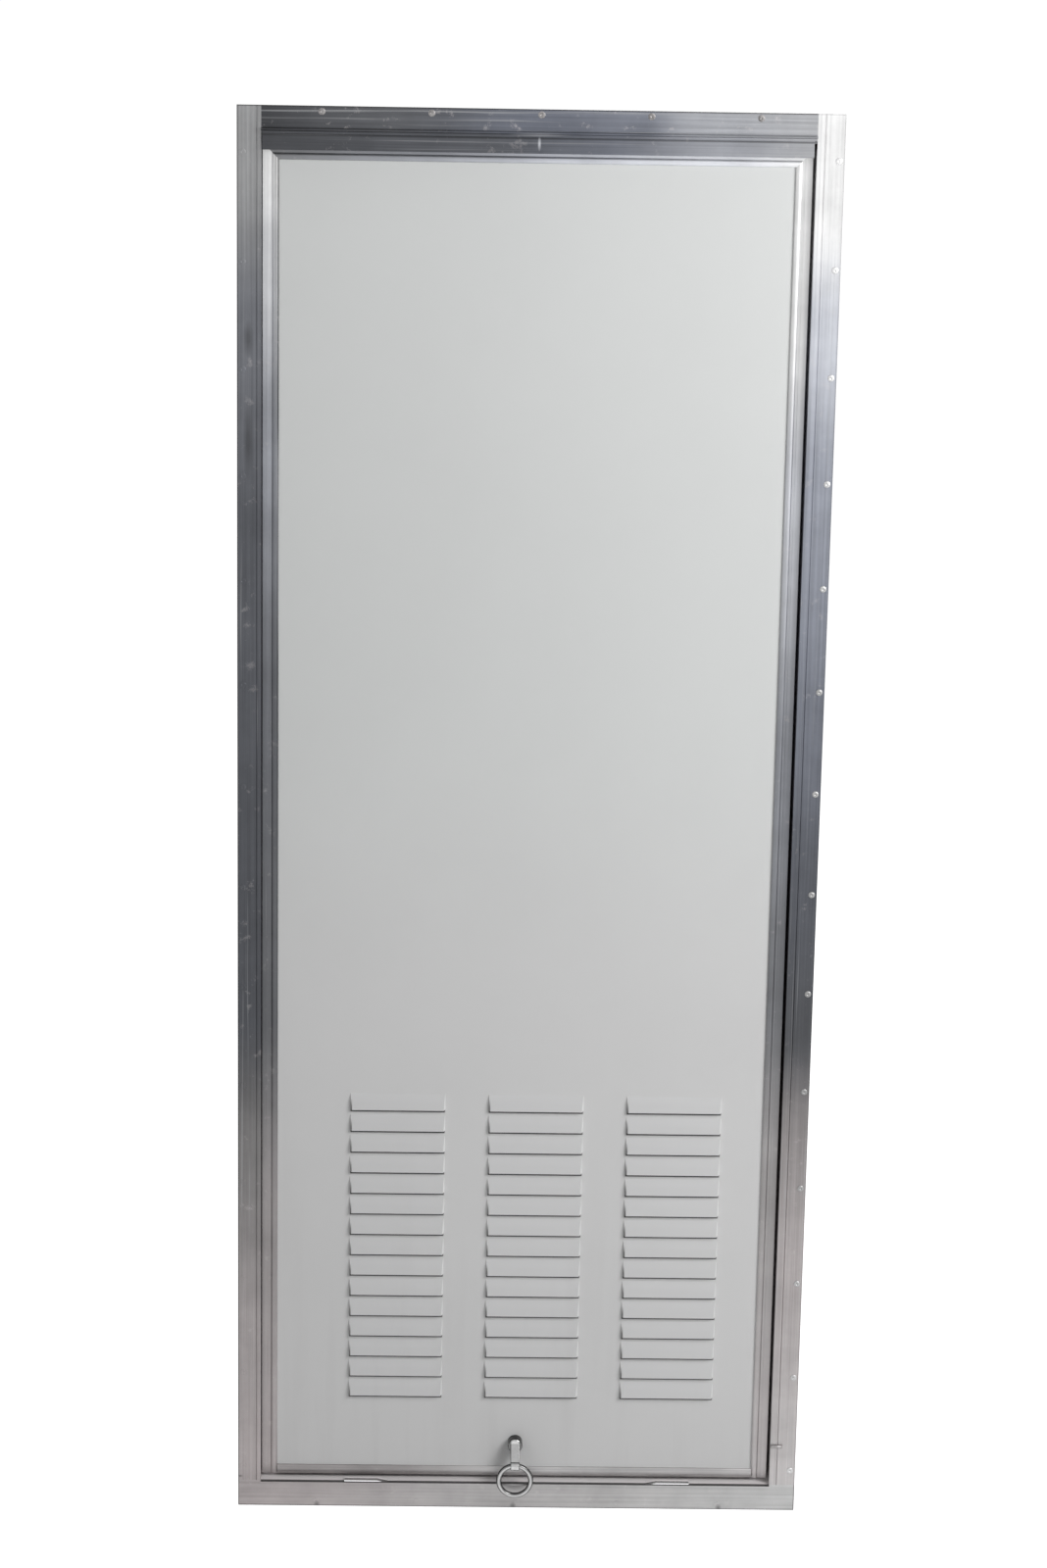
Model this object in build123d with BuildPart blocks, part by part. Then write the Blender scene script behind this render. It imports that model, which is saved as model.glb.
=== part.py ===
"""Top-hung louvred access door in an aluminium wall frame.

Millimetres, +Z up, +X to the viewer's right, +Y into the wall. The origin is on the back face of the
sill's flange, at its centre, where the frame lies against the outside of the wall.
"""

import os
from math import asin, cos, degrees, radians, sin, sqrt

from build123d import *

# Wall frame
FRAME_WIDTH = 610.0
FRAME_HEIGHT = 1524.0
LEFT_FLANGE = 24.5
RIGHT_FLANGE = 28.0
HEADER_FLANGE = 25.4
SILL_FLANGE = 29.9
WALL = 1.6
FRAME_DEPTH = 37.4
STOP_LIP = 14.0
SCRIBE_FROM_EDGE = 20.0
SCRIBE_DEPTH = 0.5
SCREW_HOLE = 4.6
SCREW_FROM_EDGE = 5.5
SCREW_PITCH = 110.0
JAMB_END_SCREW = 45.0
RAIL_END_SCREW = 82.0
SILL_NOSE = 4.6
CLIP_LEG = 24.0
CLIP_WIDTH = 20.0

# Sprung tongues lanced from the sill
TONGUE_LENGTH = 48.0
TONGUE_RAMP = 12.0
TONGUE_WIDTH = 7.0
TONGUE_LIFT = 2.4
TONGUE_CENTRE = 165.0
TONGUE_BACK = 4.0
LANCE_GAP = 0.6

# Door leaf
LEAF_DEPTH = 22.0
LEAF_RECESS = 10.0
LEFT_GAP = 1.0
RIGHT_GAP = 3.0
TOP_DROP = 38.4
BOTTOM_GAP = 4.0
RIM = 16.5
RIM_WALL = 1.4
RIM_STRIP = 7.0
RIM_GROOVE = 2.8
GROOVE_DEPTH = 0.6
BEAD_HEIGHT = 1.2
BEAD_EDGE = 0.4
REAR_FLANGE = 12.0
BOTTOM_RAIL = 10.0
PANEL_SET_BACK = 2.0
PANEL_THICKNESS = 0.8
SLOT_PLAY = 0.1
SLOT_DEPTH = 9.0
BOTTOM_SLOT_DEPTH = 6.2
EDGE_PLAY = 0.3

# Louvres pressed out of the panel
LOUVRE_COLUMNS = 3
LOUVRE_ROWS = 15
LOUVRE_WIDTH = 101.5
LOUVRE_HEIGHT = 18.0
LOUVRE_PROJECTION = 4.2
LOUVRE_CROWN = 0.5
LOUVRE_END_DRAW = 1.5
LOUVRE_COLUMN_PITCH = 148.0
LOUVRE_ROW_PITCH = 23.6
LOUVRE_OFFSET_X = 13.5
LOWEST_LIP = 127.5

# Roll hinge along the header
HINGE_DROP = 26.0
HINGE_BEAD = 2.3
HINGE_PLAY = 0.1
KNUCKLE_WALL = 1.6
OPEN_ANGLE = 100.0
NECK_MARGIN = 4.0
HINGE_PLATE = 1.6
MOUTH_CUT = 16.0
DRIP_DROP = 43.9
STAKE_WIDTH = 4.0
STAKE_HEIGHT = 8.0
STAKE_PROUD = 0.7

# Ring pull
PULL_OFFSET_X = -2.5
RING_RADIUS = 17.5
RING_WIRE = 2.8
RING_CLEAR = 5.0
EYE_HEIGHT = 55.0
EYE_PLAY = 0.12
EYE_WALL = 1.8
LUG_WIDTH = 10.0
LUG_BOSS = 16.0
LUG_BOSS_LENGTH = 13.0
LUG_RISE = 18.0
LUG_ROUND = 2.0
ARM_ROOT = 6.0
ARM_ROUND = 0.8
STUD = 5.0
STUD_PLAY = 0.05
NUT_FLATS = 8.0
NUT_THICKNESS = 4.0
STUD_END = 1.5

# Seals on the stops
SEAL_WIDTH = 8.0
SEAL_PLAY = 0.3
SEAL_INSET = 2.0
STOP_OVERLAP = 10.0

# Places worked out from the sizes above
BOTTOM = -SILL_FLANGE / 2
TOP = BOTTOM + FRAME_HEIGHT
SILL_TOP = BOTTOM + SILL_FLANGE
OUTER = FRAME_WIDTH / 2
OPENING_LEFT = LEFT_FLANGE - OUTER
OPENING_RIGHT = OUTER - RIGHT_FLANGE
OPENING_WIDTH = OPENING_RIGHT - OPENING_LEFT
STOP_LEFT = OPENING_LEFT + STOP_LIP
STOP_WIDTH = OPENING_WIDTH - 2 * STOP_LIP
STOP_FRONT = FRAME_DEPTH - WALL
HEADER_LEG = TOP - HEADER_FLANGE
JAMB_SCREWS = int((FRAME_HEIGHT - 2 * JAMB_END_SCREW) / SCREW_PITCH) + 1
RAIL_SCREWS = int((FRAME_WIDTH - 2 * RAIL_END_SCREW) / SCREW_PITCH) + 1

LEAF_LEFT = OPENING_LEFT + LEFT_GAP
LEAF_RIGHT = OPENING_RIGHT - RIGHT_GAP
LEAF_WIDTH = LEAF_RIGHT - LEAF_LEFT
LEAF_BOTTOM = SILL_TOP + BOTTOM_GAP
LEAF_TOP = TOP - TOP_DROP
LEAF_FRONT = LEAF_RECESS - WALL
LEAF_BACK = LEAF_FRONT + LEAF_DEPTH
PANEL_FRONT = LEAF_FRONT + PANEL_SET_BACK
PANEL_BACK = PANEL_FRONT + PANEL_THICKNESS
MITRE_REACH = 2 * RIM

HINGE_BORE = HINGE_BEAD + HINGE_PLAY
KNUCKLE = HINGE_BORE + KNUCKLE_WALL
HINGE_Y = -KNUCKLE
HINGE_Z = TOP - HINGE_DROP

EYE_Y = -WALL - SILL_NOSE - RING_CLEAR - RING_WIRE
EYE_Z = BOTTOM + EYE_HEIGHT
LUG_Z = EYE_Z + LUG_RISE
BOSS_FRONT = PANEL_FRONT - LUG_BOSS_LENGTH
RING_SAG = RING_RADIUS - sqrt(RING_RADIUS**2 - (LUG_WIDTH / 2) ** 2)
EYE_BORE = RING_WIRE + RING_SAG / 2 + EYE_PLAY
EYE_OUTSIDE = EYE_BORE + EYE_WALL

os.makedirs("parts", exist_ok=True)


def save(piece, name):
    """Label a finished piece and write it under that name."""
    piece.label = name
    export_step(piece, f"parts/{name}.step")


def rail_holes(height):
    """Screw holes in a row across the header or the sill."""
    with Locations(Plane.XZ.offset(WALL)):
        with Locations((0, height)):
            with GridLocations(SCREW_PITCH, 1, RAIL_SCREWS, 1):
                Hole(SCREW_HOLE / 2, depth=WALL)


def make_jamb(side, opening, name):
    """Z-shaped jamb: wall flange with a scribed line, a leg into the wall and a stop lip behind the leaf."""
    outer = side * OUTER
    scribe = outer - side * SCRIBE_FROM_EDGE
    leg_outside = opening + side * WALL
    stop_edge = opening - side * STOP_LIP
    with BuildPart() as jamb:
        with BuildSketch(Plane.XY.offset(SILL_TOP)):
            with BuildLine():
                Polyline(
                    (outer, -WALL),
                    (scribe + side * SCRIBE_DEPTH, -WALL),
                    (scribe, SCRIBE_DEPTH - WALL),
                    (scribe - side * SCRIBE_DEPTH, -WALL),
                    (opening, -WALL),
                    (opening, 0),
                    (outer, 0),
                    close=True,
                )
            make_face()
        extrude(amount=TOP - SILL_TOP)
        with BuildSketch(Plane.XY.offset(SILL_TOP)):
            with BuildLine():
                Polyline(
                    (leg_outside, 0),
                    (opening, 0),
                    (opening, STOP_FRONT),
                    (stop_edge, STOP_FRONT),
                    (stop_edge, FRAME_DEPTH),
                    (leg_outside, FRAME_DEPTH),
                    close=True,
                )
            make_face()
        extrude(amount=HEADER_LEG - SILL_TOP)
        with Locations(Plane.XZ.offset(WALL)):
            with Locations((outer - side * SCREW_FROM_EDGE, (BOTTOM + TOP) / 2)):
                with GridLocations(1, SCREW_PITCH, 1, JAMB_SCREWS):
                    Hole(SCREW_HOLE / 2, depth=WALL)
    save(jamb.part, name)


make_jamb(-1, OPENING_LEFT, "left_jamb")
make_jamb(1, OPENING_RIGHT, "right_jamb")

# Header: flange, leg and stop, with a C-shaped knuckle rolled along its lower edge
NECK_HALF_ANGLE = degrees(asin(HINGE_PLATE / 2 / HINGE_BORE))
SLOT_LOW = radians(-90 - NECK_HALF_ANGLE - NECK_MARGIN)
SLOT_HIGH = radians(OPEN_ANGLE - 90 + NECK_HALF_ANGLE + NECK_MARGIN)
SLOT_MIDDLE = (SLOT_LOW + SLOT_HIGH) / 2


def slot_point(angle):
    """Point of the knuckle's mouth, the angle measured upward from straight out of the wall."""
    return (HINGE_Y - MOUTH_CUT * cos(angle), HINGE_Z + MOUTH_CUT * sin(angle))


with BuildPart() as header:
    with BuildSketch(Plane.YZ.offset(OPENING_LEFT)):
        with Locations((HINGE_Y, HINGE_Z)):
            Circle(KNUCKLE)
            Circle(HINGE_BORE, mode=Mode.SUBTRACT)
        with BuildLine():
            Polyline(
                (HINGE_Y, HINGE_Z),
                slot_point(SLOT_LOW),
                slot_point(SLOT_MIDDLE),
                slot_point(SLOT_HIGH),
                close=True,
            )
        make_face(mode=Mode.SUBTRACT)
        with Locations((-WALL, HINGE_Z)):
            Rectangle(WALL, TOP - HINGE_Z, align=Align.MIN)
    extrude(amount=OPENING_WIDTH)
    with BuildSketch(Plane.YZ.offset(OPENING_LEFT - WALL)):
        with Locations((0, HEADER_LEG)):
            Rectangle(FRAME_DEPTH, WALL, align=Align.MIN)
    extrude(amount=OPENING_WIDTH + 2 * WALL)
    with BuildSketch(Plane.YZ.offset(STOP_LEFT)):
        with Locations((STOP_FRONT, LEAF_TOP - STOP_OVERLAP)):
            Rectangle(WALL, HEADER_LEG - LEAF_TOP + STOP_OVERLAP, align=Align.MIN)
    extrude(amount=STOP_WIDTH)
    rail_holes(TOP - SCREW_FROM_EDGE)
save(header.part, "header")

# Sill: flange across the whole width, a ledge with a drip nose, a stop, and two lanced tongues
with BuildPart() as sill:
    with BuildSketch(Plane.YZ.offset(-OUTER)):
        with Locations((-WALL, BOTTOM)):
            Rectangle(WALL, SILL_FLANGE, align=Align.MIN)
    extrude(amount=FRAME_WIDTH)
    with BuildSketch(Plane.YZ.offset(OPENING_LEFT - WALL)):
        with Locations((0, SILL_TOP - WALL)):
            Rectangle(FRAME_DEPTH, WALL, align=Align.MIN)
    extrude(amount=OPENING_WIDTH + 2 * WALL)
    with BuildSketch(Plane.YZ.offset(OPENING_LEFT)):
        with Locations((-WALL - SILL_NOSE, SILL_TOP - WALL)):
            Rectangle(SILL_NOSE, WALL, align=Align.MIN)
    extrude(amount=OPENING_WIDTH)
    with BuildSketch(Plane.YZ.offset(STOP_LEFT)):
        with Locations((STOP_FRONT, SILL_TOP)):
            Rectangle(WALL, BOTTOM_GAP + STOP_OVERLAP, align=Align.MIN)
    extrude(amount=STOP_WIDTH)
    rail_holes(BOTTOM + SCREW_FROM_EDGE)
    with BuildSketch(Plane.XY.offset(SILL_TOP)):
        with Locations((-TONGUE_CENTRE, TONGUE_BACK), (TONGUE_CENTRE, TONGUE_BACK)):
            Rectangle(TONGUE_LENGTH, TONGUE_WIDTH, align=(Align.CENTER, Align.MAX))
    extrude(amount=-WALL, mode=Mode.SUBTRACT)
    for side in (-1, 1):
        free_end = side * (TONGUE_CENTRE + TONGUE_LENGTH / 2 - LANCE_GAP)
        root = side * (TONGUE_CENTRE - TONGUE_LENGTH / 2)
        ramp_end = root + side * TONGUE_RAMP
        with BuildSketch(Plane.XZ.offset(-TONGUE_BACK + LANCE_GAP)):
            with BuildLine():
                Polyline(
                    (root, SILL_TOP - WALL),
                    (root, SILL_TOP),
                    (ramp_end, SILL_TOP + TONGUE_LIFT),
                    (free_end, SILL_TOP + TONGUE_LIFT),
                    (free_end, SILL_TOP + TONGUE_LIFT - WALL),
                    (ramp_end, SILL_TOP + TONGUE_LIFT - WALL),
                    close=True,
                )
            make_face()
        extrude(amount=TONGUE_WIDTH - 2 * LANCE_GAP)
save(sill.part, "sill")


def make_corner_clip(side, opening, height, rise, name):
    """Angle clip outside a corner of the frame: one limb on the jamb's leg, one on the rail's leg."""
    leg = opening + side * WALL
    outside = leg + side * WALL
    with BuildPart() as clip:
        with BuildSketch(Plane.XZ.offset(-(FRAME_DEPTH + CLIP_WIDTH) / 2)):
            with BuildLine():
                Polyline(
                    (outside, height + rise * WALL),
                    (outside - side * CLIP_LEG, height + rise * WALL),
                    (outside - side * CLIP_LEG, height),
                    (leg, height),
                    (leg, height - rise * CLIP_LEG),
                    (outside, height - rise * CLIP_LEG),
                    close=True,
                )
            make_face()
        extrude(amount=CLIP_WIDTH)
    save(clip.part, name)


def make_side_seal(side, opening, name):
    """Foam strip on a jamb's stop, between the top and the bottom of the leaf."""
    middle = opening - side * (STOP_LIP - SEAL_INSET - SEAL_WIDTH / 2)
    with BuildPart() as seal:
        with BuildSketch(Plane.XY.offset(LEAF_BOTTOM)):
            with Locations((middle, STOP_FRONT)):
                Rectangle(SEAL_WIDTH, STOP_FRONT - LEAF_BACK - SEAL_PLAY, align=(Align.CENTER, Align.MAX))
        extrude(amount=LEAF_TOP - LEAF_BOTTOM)
    save(seal.part, name)


def make_rail_seal(height, name):
    """Foam strip on the stop of the header or the sill."""
    with BuildPart() as seal:
        with BuildSketch(Plane.YZ.offset(STOP_LEFT)):
            with Locations((STOP_FRONT, height)):
                Rectangle(STOP_FRONT - LEAF_BACK - SEAL_PLAY, SEAL_WIDTH, align=(Align.MAX, Align.CENTER))
        extrude(amount=STOP_WIDTH)
    save(seal.part, name)


for side, opening, side_name in ((-1, OPENING_LEFT, "left"), (1, OPENING_RIGHT, "right")):
    make_corner_clip(side, opening, HEADER_LEG + WALL, 1, f"upper_{side_name}_corner_clip")
    make_corner_clip(side, opening, SILL_TOP - WALL, -1, f"lower_{side_name}_corner_clip")
    make_side_seal(side, opening, f"{side_name}_seal")
make_rail_seal(LEAF_TOP - STOP_OVERLAP / 2, "top_seal")
make_rail_seal(LEAF_BOTTOM + STOP_OVERLAP / 2, "sill_seal")


def rim_section(plane, place):
    """Section of the leaf's rim: strip, groove and rounded bead, with the panel's slot behind the bead.

    place maps the distance in from the leaf's edge and the depth behind its front to the plane.
    """
    slot_back = PANEL_SET_BACK + PANEL_THICKNESS + SLOT_PLAY
    bead_start = RIM_STRIP + RIM_GROOVE
    bead_crown = (bead_start + RIM) / 2
    with BuildSketch(plane) as section:
        with BuildLine():
            Polyline(
                place(RIM, BEAD_EDGE),
                place(RIM, PANEL_SET_BACK),
                place(RIM - SLOT_DEPTH, PANEL_SET_BACK),
                place(RIM - SLOT_DEPTH, slot_back),
                place(RIM - RIM_WALL, slot_back),
                place(RIM - RIM_WALL, slot_back + RIM_WALL),
                place(RIM_WALL, slot_back + RIM_WALL),
                place(RIM_WALL, LEAF_DEPTH - RIM_WALL),
                place(REAR_FLANGE, LEAF_DEPTH - RIM_WALL),
                place(REAR_FLANGE, LEAF_DEPTH),
                place(0, LEAF_DEPTH),
                place(0, 0),
                place(RIM_STRIP, 0),
                place(RIM_STRIP, GROOVE_DEPTH),
                place(bead_start, GROOVE_DEPTH),
                place(bead_start, 0),
            )
            ThreePointArc(place(bead_start, 0), place(bead_crown, -BEAD_HEIGHT), place(RIM, BEAD_EDGE))
        make_face()
    return section.sketch


def make_stile(side, edge, name):
    """Upright of the rim, mitred at the top and square at the bottom."""
    with BuildPart() as stile:
        section = rim_section(
            Plane.XY.offset(LEAF_BOTTOM),
            lambda inward, depth: (edge - side * inward, LEAF_FRONT + depth),
        )
        extrude(section, amount=LEAF_TOP - LEAF_BOTTOM)
        with BuildSketch(Plane.XZ.offset(-LEAF_FRONT)):
            with BuildLine():
                Polyline(
                    (edge + side * RIM, LEAF_TOP + RIM),
                    (edge - side * MITRE_REACH, LEAF_TOP + RIM),
                    (edge - side * MITRE_REACH, LEAF_TOP - MITRE_REACH),
                    close=True,
                )
            make_face()
        extrude(amount=MITRE_REACH, both=True, mode=Mode.SUBTRACT)
    save(stile.part, name)


make_stile(-1, LEAF_LEFT, "left_stile")
make_stile(1, LEAF_RIGHT, "right_stile")

with BuildPart() as top_rail:
    section = rim_section(
        Plane.YZ.offset(LEAF_LEFT),
        lambda inward, depth: (LEAF_FRONT + depth, LEAF_TOP - inward),
    )
    extrude(section, amount=LEAF_WIDTH)
    for side, edge in ((-1, LEAF_LEFT), (1, LEAF_RIGHT)):
        with BuildSketch(Plane.XZ.offset(-LEAF_FRONT)):
            with BuildLine():
                Polyline(
                    (edge + side * RIM, LEAF_TOP + RIM),
                    (edge + side * RIM, LEAF_TOP - MITRE_REACH),
                    (edge - side * MITRE_REACH, LEAF_TOP - MITRE_REACH),
                    close=True,
                )
            make_face()
        extrude(amount=MITRE_REACH, both=True, mode=Mode.SUBTRACT)
save(top_rail.part, "top_rail")

# Bottom rail: the bead and the panel's slot alone, cut square between the stiles
with BuildPart() as bottom_rail:
    with BuildSketch(Plane.YZ.offset(LEAF_LEFT + RIM)):
        slot_front = LEAF_FRONT + PANEL_SET_BACK
        slot_back = PANEL_BACK + SLOT_PLAY
        slot_floor = LEAF_BOTTOM + BOTTOM_RAIL - BOTTOM_SLOT_DEPTH
        rail_top = LEAF_BOTTOM + BOTTOM_RAIL
        with BuildLine():
            Polyline(
                (LEAF_FRONT + BEAD_EDGE, rail_top),
                (slot_front, rail_top),
                (slot_front, slot_floor),
                (slot_back, slot_floor),
                (slot_back, rail_top - RIM_WALL),
                (slot_back + RIM_WALL, rail_top - RIM_WALL),
                (slot_back + RIM_WALL, LEAF_BOTTOM + RIM_WALL),
                (LEAF_BACK - RIM_WALL, LEAF_BOTTOM + RIM_WALL),
                (LEAF_BACK - RIM_WALL, rail_top),
                (LEAF_BACK, rail_top),
                (LEAF_BACK, LEAF_BOTTOM),
                (LEAF_FRONT, LEAF_BOTTOM),
            )
            ThreePointArc(
                (LEAF_FRONT, LEAF_BOTTOM),
                (LEAF_FRONT - BEAD_HEIGHT, LEAF_BOTTOM + BOTTOM_RAIL / 2),
                (LEAF_FRONT + BEAD_EDGE, rail_top),
            )
        make_face()
    extrude(amount=LEAF_WIDTH - 2 * RIM)
save(bottom_rail.part, "bottom_rail")


def louvre_hood(width, height, projection):
    """Hood of a louvre: crowned from the sheet out to its lip, open downward, its ends drawn in a little."""
    draw = LOUVRE_END_DRAW * projection / LOUVRE_PROJECTION
    with BuildPart() as hood:
        with BuildSketch(Plane.YZ):
            with BuildLine():
                ThreePointArc((-projection, 0), (-projection / 2 - LOUVRE_CROWN, height / 2), (0, height))
                Polyline((0, height), (0, 0), (-projection, 0))
            make_face()
        extrude(amount=width / 2, both=True)
        with BuildSketch(Plane.XY):
            with BuildLine():
                Polyline(
                    (-width / 2, 0),
                    (width / 2, 0),
                    (width / 2 - draw, -projection),
                    (draw - width / 2, -projection),
                    close=True,
                )
            make_face()
        extrude(amount=height, mode=Mode.INTERSECT)
    return hood.part


LOUVRE_PLACES = [
    (
        LOUVRE_OFFSET_X + (column - (LOUVRE_COLUMNS - 1) / 2) * LOUVRE_COLUMN_PITCH,
        PANEL_FRONT,
        BOTTOM + LOWEST_LIP + row * LOUVRE_ROW_PITCH,
    )
    for column in range(LOUVRE_COLUMNS)
    for row in range(LOUVRE_ROWS)
]
HOOD_SLOPE = LOUVRE_HEIGHT / LOUVRE_PROJECTION
HOOD_INSIDE = LOUVRE_PROJECTION - PANEL_THICKNESS * sqrt(1 + 1 / HOOD_SLOPE**2)
hood_outside = louvre_hood(LOUVRE_WIDTH, LOUVRE_HEIGHT, LOUVRE_PROJECTION)
hood_inside = louvre_hood(
    LOUVRE_WIDTH - 2 * PANEL_THICKNESS, HOOD_INSIDE * HOOD_SLOPE, HOOD_INSIDE
)

# Panel: one sheet in the rim's slots, with the louvres pressed outward and a hole for the pull's stud
with BuildPart() as door_panel:
    panel_low = LEAF_BOTTOM + BOTTOM_RAIL - BOTTOM_SLOT_DEPTH + EDGE_PLAY
    panel_high = LEAF_TOP - RIM + SLOT_DEPTH - EDGE_PLAY
    panel_edge = RIM - SLOT_DEPTH + EDGE_PLAY
    with BuildSketch(Plane.XZ.offset(-PANEL_FRONT)):
        with Locations((LEAF_LEFT + panel_edge, panel_low)):
            Rectangle(LEAF_WIDTH - 2 * panel_edge, panel_high - panel_low, align=Align.MIN)
    extrude(amount=-PANEL_THICKNESS)
    with Locations(*LOUVRE_PLACES):
        add(hood_outside)
    with Locations(*LOUVRE_PLACES):
        add(hood_inside, mode=Mode.SUBTRACT)
    with BuildSketch(Plane.XZ.offset(-PANEL_FRONT)):
        with Locations(*[(x, z) for x, y, z in LOUVRE_PLACES]):
            Rectangle(
                LOUVRE_WIDTH - 2 * PANEL_THICKNESS,
                HOOD_INSIDE * HOOD_SLOPE,
                align=(Align.CENTER, Align.MIN),
            )
    extrude(amount=-PANEL_THICKNESS, mode=Mode.SUBTRACT)
    with Locations(Plane.XZ.offset(-PANEL_FRONT)):
        with Locations((PULL_OFFSET_X, LUG_Z)):
            Hole(STUD / 2 + STUD_PLAY, depth=PANEL_THICKNESS)
save(door_panel.part, "door_panel")

# Hinge leaf: a bead that turns in the header's knuckle, a drip plate and a web over the top rail
with BuildPart() as hinge_leaf:
    with BuildSketch(Plane.YZ.offset(LEAF_LEFT)):
        with Locations((HINGE_Y, HINGE_Z)):
            Circle(HINGE_BEAD)
        with Locations((HINGE_Y, HINGE_Z)):
            Rectangle(HINGE_PLATE, DRIP_DROP - HINGE_DROP, align=(Align.CENTER, Align.MAX))
        with Locations((HINGE_Y, LEAF_TOP)):
            Rectangle(LEAF_BACK - HINGE_Y, HINGE_PLATE, align=Align.MIN)
    extrude(amount=LEAF_WIDTH)
    with BuildSketch(Plane.XZ.offset(-HINGE_Y + HINGE_PLATE / 2)):
        with Locations((0, TOP - DRIP_DROP)):
            SlotOverall(STAKE_HEIGHT, STAKE_WIDTH, rotation=90, align=(Align.MIN, Align.CENTER))
    extrude(amount=STAKE_PROUD)
save(hinge_leaf.part, "hinge_leaf")

# Pull lug: a round boss on the panel with an arm that carries the eye out past the sill
with BuildPart() as pull_arm:
    with BuildSketch(Plane.YZ.offset(PULL_OFFSET_X)):
        with Locations((EYE_Y, EYE_Z)):
            Circle(EYE_OUTSIDE)
        with BuildLine():
            Polyline(
                (EYE_Y - EYE_OUTSIDE, EYE_Z),
                (EYE_Y + EYE_OUTSIDE, EYE_Z),
                (BOSS_FRONT + ARM_ROOT, LUG_Z - ARM_ROOT),
                (BOSS_FRONT + ARM_ROOT, LUG_Z),
                (BOSS_FRONT, LUG_Z + ARM_ROOT / 2),
                close=True,
            )
        make_face()
    extrude(amount=LUG_WIDTH / 2, both=True)
    fillet(pull_arm.faces().filter_by(Axis.X).edges(), ARM_ROUND)

with BuildPart() as pull_lug:
    with BuildSketch(Plane.XZ.offset(-PANEL_FRONT)):
        with Locations((PULL_OFFSET_X, LUG_Z)):
            Circle(LUG_BOSS / 2)
    extrude(amount=LUG_BOSS_LENGTH)
    fillet(pull_lug.faces().sort_by(Axis.Y)[0].edges(), LUG_ROUND)
    add(pull_arm.part)
    with BuildSketch(Plane.YZ.offset(PULL_OFFSET_X)):
        with Locations((EYE_Y, EYE_Z)):
            Circle(EYE_BORE)
    extrude(amount=LUG_WIDTH, both=True, mode=Mode.SUBTRACT)
    with BuildSketch(Plane.XZ.offset(-PANEL_FRONT)):
        with Locations((PULL_OFFSET_X, LUG_Z)):
            Circle(STUD / 2)
    extrude(amount=-PANEL_THICKNESS - NUT_THICKNESS - STUD_END)
save(pull_lug.part, "pull_lug")

with BuildPart() as pull_nut:
    with BuildSketch(Plane.XZ.offset(-PANEL_BACK)):
        with Locations((PULL_OFFSET_X, LUG_Z)):
            RegularPolygon(NUT_FLATS / 2, 6, major_radius=False)
            Circle(STUD / 2 + STUD_PLAY, mode=Mode.SUBTRACT)
    extrude(amount=-NUT_THICKNESS)
save(pull_nut.part, "pull_nut")

# Ring: round wire through the eye, hanging in front of the sill
with BuildPart() as pull_ring:
    with BuildSketch(Plane.YZ.offset(PULL_OFFSET_X)):
        with Locations((EYE_Y, EYE_Z + RING_SAG / 2)):
            Circle(RING_WIRE)
    revolve(axis=Axis((PULL_OFFSET_X, EYE_Y, EYE_Z + RING_SAG / 2 - RING_RADIUS), (0, 1, 0)))
save(pull_ring.part, "pull_ring")
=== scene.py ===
"""Looks of the louvred access door: materials, small fittings, studio light and the camera."""

from math import cos, pi, radians, sin

import bmesh
import bpy
from mathutils import Matrix, Vector


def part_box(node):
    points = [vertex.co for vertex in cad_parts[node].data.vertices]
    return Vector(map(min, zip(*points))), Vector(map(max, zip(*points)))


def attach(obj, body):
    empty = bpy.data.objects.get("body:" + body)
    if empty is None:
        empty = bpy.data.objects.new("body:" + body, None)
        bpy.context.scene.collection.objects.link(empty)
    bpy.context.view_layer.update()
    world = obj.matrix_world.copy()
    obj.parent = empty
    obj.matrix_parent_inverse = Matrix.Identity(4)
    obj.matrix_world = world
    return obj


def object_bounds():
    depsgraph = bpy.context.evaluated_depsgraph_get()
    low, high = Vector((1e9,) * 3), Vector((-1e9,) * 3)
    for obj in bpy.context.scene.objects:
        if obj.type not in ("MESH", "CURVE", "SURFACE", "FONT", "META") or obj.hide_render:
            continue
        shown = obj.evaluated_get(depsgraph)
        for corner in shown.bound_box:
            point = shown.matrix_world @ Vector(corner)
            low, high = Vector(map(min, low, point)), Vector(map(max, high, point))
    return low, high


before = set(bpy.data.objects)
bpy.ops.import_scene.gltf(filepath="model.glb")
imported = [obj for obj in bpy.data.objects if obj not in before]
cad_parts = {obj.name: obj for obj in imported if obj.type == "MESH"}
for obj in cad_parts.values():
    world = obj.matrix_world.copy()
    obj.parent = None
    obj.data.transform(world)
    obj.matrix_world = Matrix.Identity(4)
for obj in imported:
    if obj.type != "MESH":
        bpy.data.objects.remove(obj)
CAD_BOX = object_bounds()
LOW_X, HIGH_X = CAD_BOX[0][0], CAD_BOX[1][0]
LOW_Z, HIGH_Z = CAD_BOX[0][2], CAD_BOX[1][2]

# Camera at the photograph's place, in metres and degrees
CAMERA_PLACE = (-0.0853, -4.1018, 1.9326)
CAMERA_TURN = (74.68, -0.998, -0.83)
FOCAL_PIXELS = 4150
IMAGE_HEIGHT = 1600
SENSOR = 36.0

# Light
WORLD_STRENGTH = 0.24
KEY_POWER = 36.0
KEY_PLACE = (1.55, -1.35, 1.75)
KEY_SIZE = 1.1
FILL_POWER = 3.6
FILL_PLACE = (-2.2, -2.6, 1.6)
FILL_SIZE = 1.6
BACK_POWER = 26.0
BACK_PLACE = (0.9, 2.6, 1.9)
BACK_SIZE = 1.6
FLOOR_SIZE = 80.0
FLOOR_GAP = 0.0005
FLOOR_GREY = 0.6
FLOOR_GLOW = 0.9

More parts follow.
